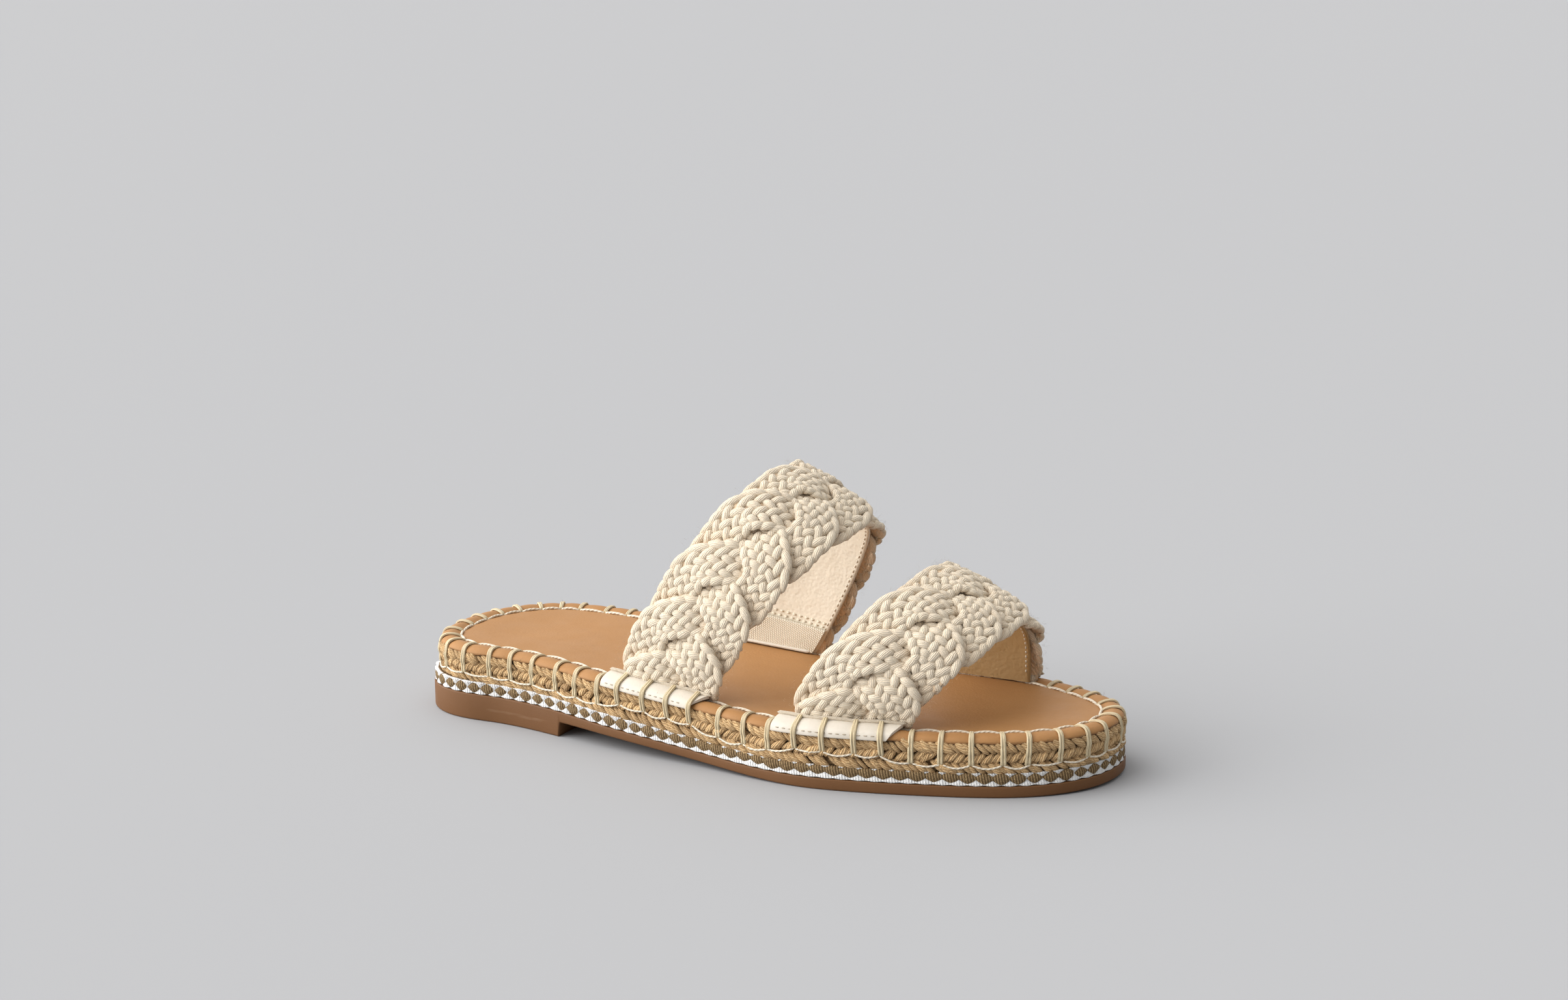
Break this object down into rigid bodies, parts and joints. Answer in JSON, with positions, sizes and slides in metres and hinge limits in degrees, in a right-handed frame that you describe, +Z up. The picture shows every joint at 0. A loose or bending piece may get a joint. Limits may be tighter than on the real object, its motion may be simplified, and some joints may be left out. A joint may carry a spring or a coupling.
{
  "type": "slide sandal",
  "caption": "Right-foot slide sandal with a rubber outsole, woven trim, jute rope midsole, padded wrapped footbed and plaited cotton straps over instep and toes",
  "frame": {"origin": "On the floor under the middle of the sole's bounding box", "axes": "+X from heel to toe, +Y to the inner (medial) side of the foot, +Z up from the floor"},
  "size_m": [0.2548, 0.0926, 0.0919],
  "materials": {
    "rubber": "matte tan-brown moulded rubber",
    "trim": "woven ribbon of white and olive-brown yarn",
    "jute": "twisted natural jute rope, dry and fibrous",
    "footbed": "smooth tan sheet with a low satin gloss",
    "cotton": "soft cream cotton cord, slightly fuzzy",
    "white_leather": "smooth off-white leather",
    "elastic": "beige woven elastic webbing"
  },
  "bodies": {
    "root": {"outsole": "rubber", "trim_braid": "trim", "jute_midsole": "jute", "footbed": "footbed", "strap_rear": "cotton", "strap_front": "cotton", "tab_rear_lateral": "white_leather", "tab_rear_medial": "white_leather", "tab_front_lateral": "white_leather", "tab_front_medial": "white_leather", "elastic_gore_rear": "elastic"}
  },
  "joints": []
}
